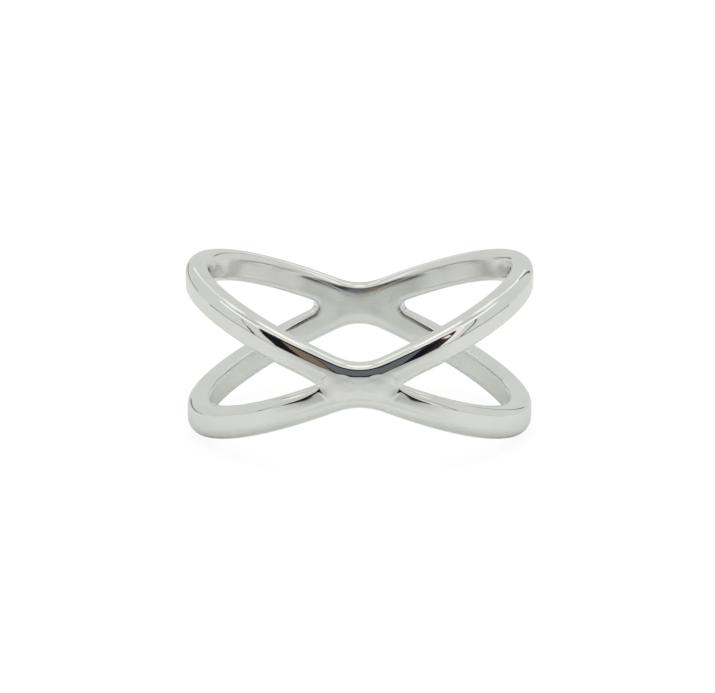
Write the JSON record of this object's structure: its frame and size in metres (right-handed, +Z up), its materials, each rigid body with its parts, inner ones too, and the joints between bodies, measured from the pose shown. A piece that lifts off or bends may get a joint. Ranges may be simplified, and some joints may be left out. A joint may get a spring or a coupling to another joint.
{
  "type": "crossover finger ring",
  "caption": "Plain polished silver finger ring whose narrow bands slant across each other at the front and at the back, with an open window at either side.",
  "frame": {"origin": "middle of the ring's footprint, on the surface that it lies on", "axes": "+Z up along the axis of the finger hole, -Y towards the front crossing, +X towards the right-hand window"},
  "size_m": [0.0198, 0.0198, 0.0099],
  "materials": {
    "polished_silver": "mirror polished"
  },
  "bodies": {
    "root": {"crossover_band": "polished_silver"}
  },
  "joints": []
}
